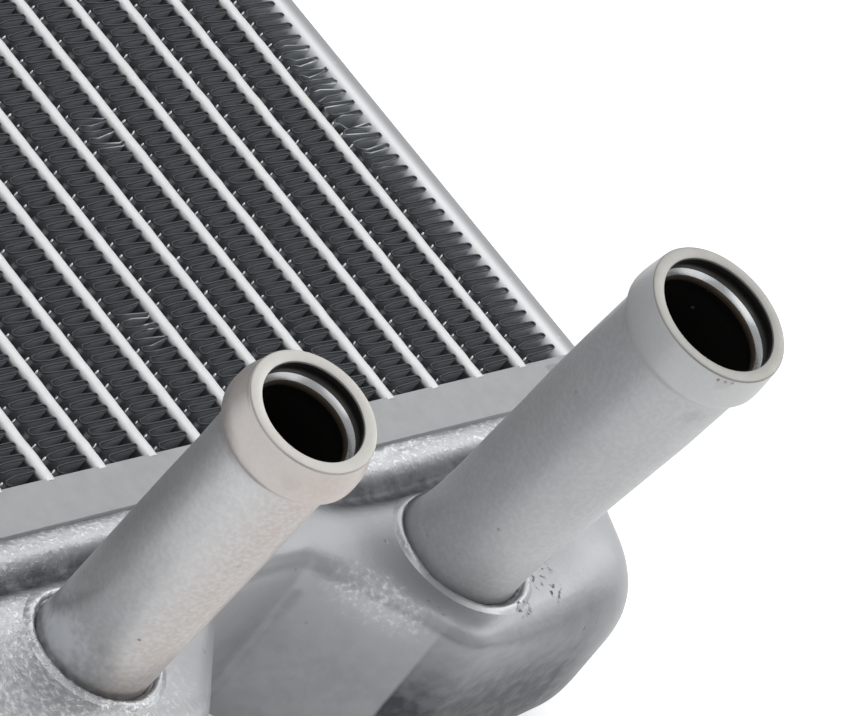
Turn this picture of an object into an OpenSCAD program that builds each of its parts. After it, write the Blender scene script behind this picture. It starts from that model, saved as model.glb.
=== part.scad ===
// Brazed aluminium heater core, lying on its back face.
// Flat tubes and folded fins run along Y between two header trays. The pressed tank at the
// -Y end carries both hose pipes on its top face and is pinched in between them.
// Z = 0 is the back face. The origin is the middle of the back face of the pipe end header.

/* [Core] */
// Number of flat tubes
tube_count = 16; // [8:2:16]
// Spacing of the tubes, centre to centre
tube_pitch = 9.85; // [8.5:0.05:12]
// Thickness of a flat tube
tube_t = 2; // [1.6:0.1:3]
// Wall of a flat tube
tube_wall = 0.4; // [0.3:0.05:0.6]
// Length of the finned core between the header trays
core_l = 150; // [100:5:200]
// Depth of the core, front face to back face
core_d = 32; // [26:1:40]

/* [Fins] */
// Half folds in one fin strip
fin_folds = 84; // [40:2:84]
// Thickness of the fin sheet, measured along the core
fin_t = 0.3; // [0.2:0.05:0.5]
// How far the fins stand back from the tube edges
fin_inset = 0.4; // [0.2:0.1:1.5]
// Gap between a fin strip's ends and the header trays
fin_end_gap = 0.3; // [0.1:0.1:1]

/* [Side plates] */
// Sheet thickness of a side plate
plate_t = 1.2; // [0.8:0.1:2]
// Width of a side plate's flanges, web included
plate_flange = 4.4; // [3:0.1:5]
// Inside bend radius of a side plate
plate_bend = 0.8; // [0.4:0.1:1.5]

/* [Header trays] */
// Height of a header tray, the flat band seen beside the fins
header_w = 6.66; // [5:0.1:10]
// Sheet thickness of a header tray
header_t = 1; // [0.8:0.1:1.4]
// How far the tubes stand out inside the header tray
tube_stick = 1; // [0.5:0.1:2]
// Land between a tube slot and the header tray's side walls
slot_land = 0.1; // [0.05:0.05:0.5]

/* [Pipe tank] */
// Sheet thickness of both tanks
tank_wall = 1.6; // [1.2:0.1:2]
// Reach of the pipe tank, seam to front wall
tank_reach = 32.4; // [30:0.1:38]
// Reach of the pinched middle, seam to the pinch's back wall
pinch_reach = 14.2; // [11:0.1:18]
// Half width of the pinch at its back wall
pinch_half = 9.1; // [6:0.1:14]
// Half width of the pipe tank across its front
front_half = 76; // [70:0.5:77]
// Plan radius of the pipe tank's two front corners
corner_r = 16; // [12:0.5:18]
// Edge radius along those corners
corner_edge = 11; // [6:0.5:12]
// Plan radius where the pinch meets the front wall
shoulder_r = 7; // [4:0.5:9]
// Edge radius round the pinch and along the seam
tank_edge = 3; // [2.5:0.1:4]
// Thickness of the divider in the pipe tank
divider_t = 1.5; // [1:0.1:3]

/* [Return tank] */
// Reach of the return tank, seam to end wall
return_reach = 17; // [12:0.5:24]
// Edge radius of the return tank
return_edge = 7; // [4:0.5:8]

/* [Pipes] */
// Distance between the pipes where they leave the tank
pipe_spacing = 75.2; // [70:0.1:84]
// Distance of the pipes from the seam
pipe_reach = 18; // [16:0.1:20]
// How far a pipe goes into the tank
pipe_insert = 5; // [3:0.5:8]
// Wall of a pipe
pipe_wall = 1.3; // [1:0.1:1.6]
// Inlet pipe, outer diameter
inlet_d = 15.9; // [14:0.1:17]
// Inlet pipe, length above the tank's face
inlet_l = 53.3; // [45:0.1:65]
// Inlet pipe, bead diameter
inlet_bead_d = 19.2; // [18.6:0.1:21]
// Inlet pipe, lean away from the core in degrees
inlet_lean_out = 7.1; // [0:0.1:12]
// Inlet pipe, lean towards -X in degrees
inlet_lean_side = 8; // [0:0.1:10]
// Outlet pipe, outer diameter at the tank
outlet_root_d = 17; // [15:0.1:18]
// Outlet pipe, outer diameter behind the bead
outlet_d = 19; // [18:0.1:20]
// Outlet pipe, length above the tank's face
outlet_l = 56; // [45:0.1:65]
// Height above the tank where the outlet pipe starts to swell
swell_start = 8; // [4:0.5:12]
// Height above the tank where the outlet pipe has its full diameter
swell_end = 38; // [25:0.5:40]
// Outlet pipe, bead diameter
outlet_bead_d = 21.3; // [21:0.1:24]
// Outlet pipe, lean away from the core in degrees
outlet_lean_out = 8.4; // [0:0.1:12]
// Outlet pipe, lean towards -X in degrees
outlet_lean_side = 5.2; // [0:0.1:10]

/* [Beads and collars] */
// Length of the rolled bead, barrel to mouth
bead_l = 7.8; // [7:0.1:10]
// Length of the straight land on the bead's crest
bead_land = 1.6; // [1:0.1:2.5]
// Depth of the bead's rise out of the barrel
bead_rise_l = 2.4; // [1.5:0.1:3]
// Thickness of the turned-in lip at the mouth
lip_t = 1.4; // [1:0.1:2]
// How far the mouth's outer edge stands proud of the barrel
lip_proud = 0.6; // [0.1:0.05:0.8]
// Edge radius of the turned-in lip
lip_round = 0.7; // [0.3:0.1:0.9]
// How much wider the mouth is than the pipe's bore, on the radius
mouth_ease = 0.15; // [0.05:0.05:0.4]
// Width of the raised collar round a pipe
collar_w = 2.8; // [2:0.1:5]
// Height of the raised collar round a pipe
collar_h = 1.2; // [0.8:0.1:3]
// Clearance of the brazed joints
braze_gap = 0.1; // [0.05:0.05:0.2]

/* [Hidden] */
$fn = 96;
HULL_FN = 32;
ARC_STEPS = 5;
EASE_STEPS = 8;
EPS = 0.01;
MIN_EDGE = 0.8;
// How far a cutting shape runs past what it cuts
CUT = 3;

// How far the tube edges stand back from the core's faces
tube_inset = header_t + slot_land + braze_gap;
fin_count = tube_count + 1;
fin_h = tube_pitch - tube_t;
core_y = header_w / 2;
seam_y = -header_w / 2;
far_y = core_y + core_l;
tube_half = (tube_count - 1) / 2 * tube_pitch + tube_t / 2;
plate_x = tube_half + fin_h;
core_half = plate_x + plate_flange;

// Tank skirt, the part inside the header tray
skirt_drop = header_t + braze_gap;
skirt_room = 0.6;
skirt_half = tube_half + skirt_room + tank_wall;
skirt_end = header_w - header_t - tube_stick - braze_gap;
skirt_bite = 4;
skirt_root = 1;
tray_half = skirt_half + braze_gap + header_t;

front_y = seam_y - tank_reach;
pinch_y = seam_y - pinch_reach;
// The pinch's sloping flanks lie on the lines |x| + y = flank_sum
flank_sum = pinch_half + pinch_y;
pipe_y = seam_y - pipe_reach;
seam_r = 8;

function pad(i) = i < 10 ? str("0", i) : str(i);
function tube_x(i) = (i - (tube_count + 1) / 2) * tube_pitch;
function fin_x(i) = (i - (fin_count + 1) / 2) * tube_pitch;
function arc(c, r, a0, a1) =
    [for (k = [0:ARC_STEPS]) let (a = a0 + (a1 - a0) * k / ARC_STEPS) c + r * [cos(a), sin(a)]];
// A smooth step from radius r0 at height z0 to radius r1 at height z1
function ease(r0, r1, z0, z1) =
    [for (k = [0:EASE_STEPS]) let (t = k / EASE_STEPS)
        [r0 + (r1 - r0) * (1 - cos(180 * t)) / 2, z0 + (z1 - z0) * t]];
// Set-back of an edge of radius e from the seam, where it has dropped to the skirt
function seam_set(e) = sqrt(e * e - (e - skirt_drop) * (e - skirt_drop));

// Flat tube in section: two chambers with a web between them
module tube_section(t, d) {
    chamber = (d - 3 * tube_wall) / 2;
    difference() {
        slot_2d(t, d);
        for (s = [-1, 1])
            translate([0, s * (chamber + tube_wall) / 2]) slot_2d(t - 2 * tube_wall, chamber);
    }
}

module tube(i) {
    stick = header_t + tube_stick;
    color([0.86, 0.86, 0.85])
        translate([tube_x(i), far_y + stick, core_d / 2]) rotate([90, 0, 0])
            linear_extrude(core_l + 2 * stick) tube_section(tube_t, core_d - 2 * tube_inset);
}

// One folded fin strip: a sheet that runs to and fro between two tube walls. Each fold has
// its tip on the wall and its inside corner one sheet thickness further in along the slope.
module fin(i) {
    inset = tube_inset + fin_inset;
    y0 = core_y + fin_end_gap;
    step = (core_l - 2 * fin_end_gap) / fin_folds;
    tip = fin_h / 2;
    inside = tip - fin_t * fin_h / step;
    right = [for (k = [0:fin_folds]) [k % 2 == 0 ? -inside : tip, y0 + k * step]];
    left = [for (k = [fin_folds:-1:0]) [k % 2 == 0 ? -tip : inside, y0 + k * step]];
    color([0.25, 0.27, 0.29])
        translate([fin_x(i), 0, inset]) linear_extrude(core_d - 2 * inset)
            polygon(concat(right, left));
}

// Channel in section, web on the left at x = 0, flanges towards +X
module channel_section(w, h, t, bend) {
    outer = bend + t;
    difference() {
        union() {
            translate([outer, 0]) square([w - outer, h]);
            translate([0, outer]) square([outer + EPS, h - 2 * outer]);
            for (y = [outer, h - outer]) translate([outer, y]) circle(outer, $fn = 32);
        }
        translate([t + bend, t]) square([w, h - 2 * t]);
        translate([t, t + bend]) square([w, h - 2 * (t + bend)]);
        for (y = [t + bend, h - t - bend]) translate([t + bend, y]) circle(bend, $fn = 24);
    }
}

module side_plate(side) {
    color([0.80, 0.80, 0.79]) mirror([side < 0 ? 1 : 0, 0, 0])
        translate([plate_x, far_y, 0]) rotate([90, 0, 0])
            linear_extrude(core_l) channel_section(plate_flange, core_d, plate_t, plate_bend);
}

// Tray with its slotted floor on the core's side, at y = 0, and its walls towards -Y
module tray() {
    difference() {
        union() {
            translate([-tray_half, -header_w, 0]) cube([2 * tray_half, header_w, core_d]);
            translate([-core_half, -header_t, 0]) cube([2 * core_half, header_t, core_d]);
        }
        translate([-skirt_half - braze_gap, -header_w - CUT, header_t])
            cube([2 * (skirt_half + braze_gap), header_w - header_t + CUT, core_d - 2 * header_t]);
        for (i = [1:tube_count])
            translate([tube_x(i), CUT, core_d / 2]) rotate([90, 0, 0])
                linear_extrude(header_t + 2 * CUT)
                    slot_2d(tube_t + 2 * braze_gap, core_d - 2 * tube_inset + 2 * braze_gap);
    }
}

// Outline of a flat tube or of its slot, with half round ends
module slot_2d(t, d) {
    square([t, d - t], center = true);
    for (s = [-1, 1]) translate([0, s * (d - t) / 2]) circle(d = t, $fn = 24);
}

module header_tray() {
    color([0.72, 0.73, 0.73]) translate([0, core_y, 0]) tray();
}

module return_header_tray() {
    color([0.72, 0.73, 0.73]) translate([0, far_y, 0]) mirror([0, 1, 0]) tray();
}

// Upright round of a tank: plan radius r, top and bottom edges rounded by e
module round_post(x, y, r, e, inset) {
    pr = r - inset;
    pe = max(e - inset, MIN_EDGE);
    lo = inset;
    hi = core_d - inset;
    translate([x, y, 0]) rotate_extrude($fn = HULL_FN)
        polygon(concat([[0, lo]], arc([pr - pe, lo + pe], pe, -90, 0),
                       arc([pr - pe, hi - pe], pe, 0, 90), [[0, hi]]));
}

// Posts along a seam: their edges drop to the skirt's level exactly at the seam
module seam_post(x, r, e, inset) {
    round_post(x, seam_y - seam_set(e) - (r - e), r, e, inset);
}

module lobe(inset) {
    seam_x = skirt_half - sqrt(seam_r * seam_r - pow(seam_set(seam_r), 2));
    shoulder_y = front_y + shoulder_r;
    flank_y = seam_y - seam_set(tank_edge);
    hull() {
        round_post(front_half - corner_r, front_y + corner_r, corner_r, corner_edge, inset);
        round_post(shoulder_r * sqrt(2) + flank_sum - shoulder_y, shoulder_y,
                   shoulder_r, tank_edge, inset);
        round_post(tank_edge * sqrt(2) + flank_sum - flank_y, flank_y,
                   tank_edge, tank_edge, inset);
        seam_post(seam_x, seam_r, seam_r, inset);
    }
}

module middle_bar(inset) {
    reach = pinch_half + pinch_reach;
    hull() for (s = [-1, 1]) {
        round_post(s * reach, pinch_y + tank_edge, tank_edge, tank_edge, inset);
        seam_post(s * reach, tank_edge, tank_edge, inset);
    }
}

module pipe_tank_form(inset) {
    lobe(inset);
    mirror([1, 0, 0]) lobe(inset);
    middle_bar(inset);
}

// Skirt of a tank, from a little inside the body to the tray's floor
module skirt(inset, bite) {
    translate([inset - skirt_half, seam_y - bite, skirt_drop + inset])
        cube([2 * (skirt_half - inset), bite + skirt_end + (inset > 0 ? CUT : 0),
              core_d - 2 * (skirt_drop + inset)]);
}

module at_pipe(side, lean_out, lean_side) {
    translate([side * pipe_spacing / 2, pipe_y, core_d]) rotate([lean_out, -lean_side, 0])
        children();
}

// Raised collar that the tank's metal makes round a pipe
module collar(side, root_d) {
    root = root_d / 2;
    translate([side * pipe_spacing / 2, pipe_y, core_d])
        rotate_extrude()
            polygon(concat([[0, -tank_wall / 2], [root + collar_w, -tank_wall / 2]],
                           ease(root + collar_w, root + collar_w / 4, 0, collar_h),
                           [[0, collar_h]]));
}

module pipe_hole(root_d) {
    translate([0, 0, -pipe_insert - tank_wall]) cylinder(d = root_d + 2 * braze_gap,
        h = pipe_insert + tank_wall + collar_h + CUT);
}

// Keeps what lies beyond the seam, down to a tank's end wall
module beyond_seam(reach) {
    intersection() {
        children();
        translate([-core_half, seam_y - reach - CUT, -CUT])
            cube([2 * core_half, reach + CUT, core_d + 2 * CUT]);
    }
}

module pipe_tank() {
    color([0.66, 0.67, 0.68]) difference() {
        union() {
            beyond_seam(tank_reach) pipe_tank_form(0);
            skirt(0, skirt_root);
            collar(-1, inlet_d);
            collar(1, outlet_root_d);
        }
        pipe_tank_form(tank_wall);
        skirt(tank_wall, skirt_bite);
        at_pipe(-1, inlet_lean_out, inlet_lean_side) pipe_hole(inlet_d);
        at_pipe(1, outlet_lean_out, outlet_lean_side) pipe_hole(outlet_root_d);
    }
}

module return_form(inset) {
    e = return_edge;
    x = skirt_half - sqrt(e * e - pow(seam_set(e), 2));
    hull() for (s = [-1, 1]) {
        round_post(s * (skirt_half - e), seam_y - return_reach + e, e, e, inset);
        seam_post(s * x, e, e, inset);
    }
}

module return_tank() {
    color([0.66, 0.67, 0.68]) translate([0, far_y + core_y, 0]) mirror([0, 1, 0]) difference() {
        union() {
            beyond_seam(return_reach) return_form(0);
            skirt(0, skirt_root);
        }
        return_form(tank_wall);
        skirt(tank_wall, skirt_bite);
    }
}

// Divider that parts the inlet side of the pipe tank from the outlet side
module divider() {
    room = tank_wall + braze_gap;
    corner = max(tank_edge - tank_wall, MIN_EDGE);
    y2 = core_y - header_t - braze_gap;
    y0 = pinch_y + room;
    y1 = seam_y - seam_set(tank_edge);
    low = skirt_drop + room;
    color([0.6, 0.6, 0.6]) translate([divider_t / 2, 0, 0]) rotate([0, -90, 0])
        linear_extrude(divider_t) {
            translate([room + corner, y0]) square([core_d - 2 * (room + corner), y1 - y0]);
            translate([room, y0 + corner])
                square([core_d - 2 * room, y1 - y0 - corner]);
            for (z = [room + corner, core_d - room - corner])
                translate([z, y0 + corner]) circle(corner, $fn = 24);
            translate([low, y1 - EPS])
                square([core_d - 2 * low, y2 - y1 + EPS]);
        }
}

// Pipe stub in its own frame: z = 0 at the tank's face, mouth at z = l
module hose_pipe(root_d, end_d, l, bead_d) {
    root = root_d / 2;
    end = end_d / 2;
    bead = bead_d / 2;
    lip = end + lip_proud;
    neck_z = l - bead_l;
    land_z = neck_z + bead_rise_l;
    mouth = end - pipe_wall + mouth_ease;
    outer = concat([[root, -pipe_insert], [root, swell_start], [end, swell_end]],
        ease(end, bead, neck_z, land_z),
        ease(bead, lip, land_z + bead_land, l - lip_round),
        arc([lip - lip_round, l - lip_round], lip_round, 0, 90));
    inner = concat([[mouth, l], [mouth, l - lip_t]],
        ease(bead - pipe_wall, end - pipe_wall, land_z + bead_land / 2, neck_z + pipe_wall),
        [[end - pipe_wall, swell_end], [root - pipe_wall, swell_start],
         [root - pipe_wall, -pipe_insert]]);
    rotate_extrude() polygon(concat(outer, inner));
}

module inlet_pipe() {
    color([0.73, 0.71, 0.68]) at_pipe(-1, inlet_lean_out, inlet_lean_side)
        hose_pipe(inlet_d, inlet_d, inlet_l, inlet_bead_d);
}

module outlet_pipe() {
    color([0.66, 0.67, 0.67]) at_pipe(1, outlet_lean_out, outlet_lean_side)
        hose_pipe(outlet_root_d, outlet_d, outlet_l, outlet_bead_d);
}

for (i = [1:tube_count]) tube(i);
for (i = [1:fin_count]) fin(i);
side_plate(-1);  // side_plate_left
side_plate(1);  // side_plate_right
header_tray();
return_header_tray();
pipe_tank();
return_tank();
divider();
inlet_pipe();
outlet_pipe();
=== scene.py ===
# %% [markdown]
# # A brazed heater core
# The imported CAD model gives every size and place. This lesson puts the looks on it: pressed tank,
# beaded hose pipes, folded fins and bright tube noses. Blender works in metres, so a length in
# millimetres is multiplied by MM.

# %% Load the frame
import math
import random

import bmesh
import bpy
from mathutils import Matrix, Vector, noise
from mathutils.bvhtree import BVHTree


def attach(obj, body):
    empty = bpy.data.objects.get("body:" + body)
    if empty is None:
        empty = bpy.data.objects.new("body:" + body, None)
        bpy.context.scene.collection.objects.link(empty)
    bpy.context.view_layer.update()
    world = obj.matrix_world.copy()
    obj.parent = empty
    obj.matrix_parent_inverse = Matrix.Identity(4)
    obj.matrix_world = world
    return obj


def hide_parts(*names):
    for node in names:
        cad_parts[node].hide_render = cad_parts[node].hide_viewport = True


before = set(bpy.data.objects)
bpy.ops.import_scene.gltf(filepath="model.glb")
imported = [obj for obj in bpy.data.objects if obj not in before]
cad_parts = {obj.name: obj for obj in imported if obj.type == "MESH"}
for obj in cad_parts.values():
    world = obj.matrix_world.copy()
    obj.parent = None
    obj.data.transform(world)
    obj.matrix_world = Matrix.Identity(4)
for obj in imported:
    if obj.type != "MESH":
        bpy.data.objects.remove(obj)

MM = 0.001
CORE_Y, FAR_Y = 3.33, 153.33
scene = bpy.context.scene
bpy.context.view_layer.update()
print("CAD nodes:", len(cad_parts))

# %% [markdown]
# The camera comes first, because every likeness is judged through it. It stands 0.8 m away with a
# very long lens, so the parallel tubes stay nearly parallel. Its three axes are given as they were
# fitted, which is surer than three angles, since the picture is also rolled to one side.

# %% Camera
camera_data = bpy.data.cameras.new("camera")
camera_data.sensor_width = 36
camera_data.lens = 254.9
camera = bpy.data.objects.new("camera", camera_data)
scene.collection.objects.link(camera)
right = Vector((0.6077, -0.5922, 0.5291))
up = Vector((0.1416, 0.7364, 0.6616))
back = right.cross(up).normalized()
up = back.cross(right).normalized()
place = Matrix((right.normalized(), up, back)).transposed().to_4x4()
place.translation = Vector((-0.5783, -0.2578, 0.4637))
camera.matrix_world = place
scene.camera = camera
print("camera at", tuple(round(v, 3) for v in place.translation))

# %% [markdown]
# Studio light is wide and soft. The key panel stands behind the part, so its level faces shine and
# their shadow falls forwards, which lets the tank's front darken towards the floor. Three weaker
# panels light the side, the front and the end, and a dim bluish world does the rest.

# %% Lights and world
def panel(name, place, size, power):
    data = bpy.data.lights.new(name, "AREA")
    data.shape = "SQUARE"
    data.size = size
    data.energy = power
    lamp = bpy.data.objects.new(name, data)
    lamp.location = place
    lamp.rotation_euler = (-Vector(place)).to_track_quat("-Z", "Y").to_euler()
    scene.collection.objects.link(lamp)
    return lamp


panel("key_panel", (0.75, 0.35, 1.20), 2.0, 13.5)
panel("side_panel", (-0.7, -0.1, 1.10), 1.0, 2.2)
panel("front_panel", (0.2, -1.1, 0.7), 1.0, 1.5)
panel("end_panel", (1.3, -0.3, 0.8), 1.2, 5.0)
world = bpy.data.worlds.new("studio")
scene.world = world
world.use_nodes = True
world.node_tree.nodes["Background"].inputs["Color"].default_value = (0.92, 0.96, 1.0, 1)
world.node_tree.nodes["Background"].inputs["Strength"].default_value = 0.3
scene.view_settings.view_transform = "Standard"

# %% [markdown]
# Materials are trees of nodes, and short helpers keep them readable. The first, put, adds a node
# and fills or links its sockets. For short, calc adds one maths node, noise_value noise, and marked
# reads what the mesh carries. Two more make and place a group of nodes, and start_material gives a
# material that ends in a Principled shader.

# %% Node helpers
def put(tree, kind, sockets=None, **settings):
    node = tree.nodes.new(kind)
    for key, value in settings.items():
        setattr(node, key, value)
    for key, value in (sockets or {}).items():
        if isinstance(value, bpy.types.NodeSocket):
            tree.links.new(value, node.inputs[key])
        else:
            node.inputs[key].default_value = value
    return node


def calc(tree, operation, *values):
    return put(tree, "ShaderNodeMath", dict(enumerate(values)), operation=operation).outputs[0]


def noise_value(tree, where, scale, detail):
    return put(tree, "ShaderNodeTexNoise",
               {"Vector": where, "Scale": scale, "Detail": detail}).outputs["Fac"]


def marked(tree, label):
    """A share from 0 to 1 that the mesh itself carries, point by point."""
    return put(tree, "ShaderNodeAttribute", attribute_name=label).outputs["Fac"]


def start_group(name, inputs, outputs):
    group = bpy.data.node_groups.new(name, "ShaderNodeTree")
    for label, kind, value in inputs:
        socket = group.interface.new_socket(name=label, in_out="INPUT", socket_type=kind)
        if value is not None:
            socket.default_value = value
    for label, kind in outputs:
        group.interface.new_socket(name=label, in_out="OUTPUT", socket_type=kind)
    return group, group.nodes.new("NodeGroupInput").outputs, group.nodes.new("NodeGroupOutput").inputs


def place_group(tree, group, **sockets):
    """Places a group. A space in a socket's label is written as an underscore here."""
    return put(tree, "ShaderNodeGroup", {k.replace("_", " "): v for k, v in sockets.items()},
               node_tree=group).outputs


def start_material(name, metallic, roughness):
    material = bpy.data.materials.new(name)
    material.use_nodes = True
    shader = material.node_tree.nodes["Principled BSDF"]
    shader.inputs["Metallic"].default_value = metallic
    shader.inputs["Roughness"].default_value = roughness
    where = put(material.node_tree, "ShaderNodeTexCoord").outputs["Object"]
    return material, material.node_tree, shader, where


FLOAT, VECTOR = "NodeSocketFloat", "NodeSocketVector"

# %% [markdown]
# Bare aluminium that has been through a brazing oven has a mottled skin: broad clouds, a fine
# grain, and a pebbled relief where flux ran. One group makes all three from noise, so each
# material can ask for its own share.

# %% Group: oven skin
oven_skin, skin_in, skin_out = start_group(
    "oven_skin",
    [("Vector", VECTOR, None), ("Cloud Scale", FLOAT, 120.0), ("Grain Scale", FLOAT, 1800.0),
     ("Pebble Scale", FLOAT, 700.0)],
    [("Cloud", FLOAT), ("Grain", FLOAT), ("Pebble", FLOAT)])
for label, detail in (("Cloud", 3), ("Grain", 2), ("Pebble", 1)):
    tex = put(oven_skin, "ShaderNodeTexNoise",
              {"Vector": skin_in["Vector"], "Scale": skin_in[label + " Scale"], "Detail": detail})
    oven_skin.links.new(tex.outputs["Fac"], skin_out[label])
print("group", oven_skin.name)

# %% [markdown]
# Flux leaves bright crumbs, and handling leaves dark pits. Both are scattered dots, so one group
# serves them: a Voronoi pattern whose cells are kept or dropped by a random share.

# %% Group: scattered dots
dots, dots_in, dots_out = start_group(
    "scattered_dots",
    [("Vector", VECTOR, None), ("Scale", FLOAT, 500.0), ("Size", FLOAT, 0.3), ("Share", FLOAT, 0.3)],
    [("Mask", FLOAT)])
cells = put(dots, "ShaderNodeTexVoronoi", {"Vector": dots_in["Vector"], "Scale": dots_in["Scale"]})
near = put(dots, "ShaderNodeMapRange",
           {"Value": cells.outputs["Distance"], "From Min": dots_in["Size"], "From Max": 0.0},
           interpolation_type="SMOOTHSTEP")
pick = put(dots, "ShaderNodeSeparateColor", {"Color": cells.outputs["Color"]})
kept = calc(dots, "LESS_THAN", pick.outputs["Red"], dots_in["Share"])
dots.links.new(calc(dots, "MULTIPLY", near.outputs["Result"], kept), dots_out["Mask"])
print("group", dots.name)

# %% [markdown]
# Some marks sit at one place only, such as the crusted flux beside a pipe's foot. A soft ball round
# a point, with an edge that noise breaks up, gives a mask for such a patch.

# %% Group: patch round a point
patch, patch_in, patch_out = start_group(
    "patch_at",
    [("Vector", VECTOR, None), ("Centre", VECTOR, (0, 0, 0)), ("Radius", FLOAT, 0.005),
     ("Ragged", FLOAT, 0.4)],
    [("Mask", FLOAT)])
away = put(patch, "ShaderNodeVectorMath", {0: patch_in["Vector"], 1: patch_in["Centre"]},
           operation="DISTANCE")
share = calc(patch, "DIVIDE", away.outputs["Value"], patch_in["Radius"])
torn = noise_value(patch, patch_in["Vector"], 900.0, 3)
shift = calc(patch, "MULTIPLY_ADD", torn, patch_in["Ragged"], share)
ball = put(patch, "ShaderNodeMapRange",
           {"Value": shift, "From Min": 1.1, "From Max": 0.6},
           interpolation_type="SMOOTHSTEP")
patch.links.new(ball.outputs["Result"], patch_out["Mask"])


def patch_mask(tree, where, centre, radius, ragged):
    """The mask of one patch, with its centre and radius in mm."""
    return place_group(tree, patch, Vector=where, Centre=Vector(centre) * MM,
                       Radius=radius * MM, Ragged=ragged)["Mask"]


print("group", patch.name)

# %% [markdown]
# Colours are mixed in layers, each with its own mask, as a painter would glaze them. Roughness and
# bump each read one sum, added up from the clouds, the grain, the pebbles and the pits.

# %% Layer helpers
def glaze(tree, below, above, mask, amount=1.0):
    """Lays colour above over colour below, where mask times amount says so."""
    mix = put(tree, "ShaderNodeMix", {0: calc(tree, "MULTIPLY", mask, amount)}, data_type="RGBA")
    for socket, value in ((mix.inputs[6], below), (mix.inputs[7], above)):
        if isinstance(value, bpy.types.NodeSocket):
            tree.links.new(value, socket)
        else:
            socket.default_value = (*value, 1)
    return mix.outputs[2]


def glaze_all(tree, color, layers):
    """Lays several (colour, mask, amount) layers over a colour, the first one lowest."""
    for above, mask, amount in layers:
        color = glaze(tree, color, above, mask, amount)
    return color


def add_up(tree, parts):
    """Sums (socket, factor) pairs into one value."""
    total = 0.0
    for socket, factor in parts:
        total = calc(tree, "MULTIPLY_ADD", socket, factor, total)
    return total


def largest(tree, masks):
    """The largest of several masks at each point."""
    most = masks[0]
    for mask in masks[1:]:
        most = calc(tree, "MAXIMUM", most, mask)
    return most


def ramp(tree, value, low, high, to_low=0.0, to_high=1.0):
    return put(tree, "ShaderNodeMapRange",
               {"Value": value, "From Min": low, "From Max": high, "To Min": to_low, "To Max": to_high},
               interpolation_type="SMOOTHSTEP").outputs["Result"]


def off_middle(tree, where, axis, middle=0.0):
    """How far a point lies from a middle along one axis. The middle is in mm."""
    along = put(tree, "ShaderNodeSeparateXYZ", {"Vector": where}).outputs[axis]
    return calc(tree, "ABSOLUTE", calc(tree, "SUBTRACT", along, middle * MM))


def roughen(tree, shader, parts, base):
    rough = calc(tree, "ADD", add_up(tree, parts), base)
    tree.links.new(rough, shader.inputs["Roughness"])


def emboss(tree, shader, height, strength, distance):
    bump = put(tree, "ShaderNodeBump", {"Height": height, "Strength": strength, "Distance": distance})
    tree.links.new(bump.outputs["Normal"], shader.inputs["Normal"])


# %% [markdown]
# The floor is a plain pale sheet. It is lifted to white for the eye and for what metal mirrors,
# while it still takes the object's shadow.

# %% Floor
FLOOR_LIFT = 0.36


def floor_material():
    material, tree, shader, where = start_material("studio_floor", 0.0, 0.9)
    shader.inputs["Base Color"].default_value = (0.9, 0.9, 0.9, 1)
    path = put(tree, "ShaderNodeLightPath").outputs
    seen = largest(tree, [path["Is Camera Ray"], path["Is Glossy Ray"], path["Is Transmission Ray"]])
    lift = calc(tree, "MULTIPLY", seen, FLOOR_LIFT)
    shader.inputs["Emission Color"].default_value = (1, 1, 1, 1)
    tree.links.new(lift, shader.inputs["Emission Strength"])
    return material


bm = bmesh.new()
bmesh.ops.create_grid(bm, x_segments=8, y_segments=8, size=4.0)
mesh = bpy.data.meshes.new("studio_floor")
bm.to_mesh(mesh)
bm.free()
floor = bpy.data.objects.new("studio_floor", mesh)
scene.collection.objects.link(floor)
mesh.materials.append(floor_material())
print("floor", [round(v, 1) for v in floor.dimensions])

# %% [markdown]
# The tank's skin is matte grey with clouds. It sparkles with flux towards the small pipe, on one
# shoulder of the pinch and along the seam, where fine grit is bright in places and dull in others.
# Crusts with dark holes lie beside the large pipe's foot.

# %% Masks of the pressed tank
PIPE_X, PIPE_Y, FOOT_Z = 37.6, -21.33, 32.0
SHOULDER = ((12.5, -29.0, 31.0), 13)
CRUSTS = (((46.5, -27.5, 31.0), 3.2), ((48.5, -31.0, 31.0), 2.6), ((40.5, -31.6, 30.6), 2.8),
          ((49.5, -26.0, 31.3), 3.0), ((23.5, -27.5, 31.5), 1.1), ((25.0, -29.2, 31.3), 1.2))


def sparkle_mask(tree, where):
    """Where flux sparkles: at the small pipe, on a shoulder and on the seam, only near the top."""
    axes = put(tree, "ShaderNodeSeparateXYZ", {"Vector": where}).outputs
    left = ramp(tree, axes["X"], -22 * MM, -48 * MM)
    seam = ramp(tree, axes["Y"], -7.8 * MM, -6.2 * MM, 0.0, 0.7)
    high = ramp(tree, axes["Z"], 24 * MM, 31 * MM)
    shoulder = patch_mask(tree, where, *SHOULDER, 0.5)
    return calc(tree, "MULTIPLY", largest(tree, [left, shoulder, seam]), high)


def hole_mask(tree, where):
    """The dark holes in the crusts."""
    crust = largest(tree, [patch_mask(tree, where, *spot, 0.5) for spot in CRUSTS])
    rugged = noise_value(tree, where, 1150.0, 3)
    return calc(tree, "MULTIPLY", ramp(tree, rugged, 0.56, 0.66), crust)


print("crusts:", len(CRUSTS))
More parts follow.
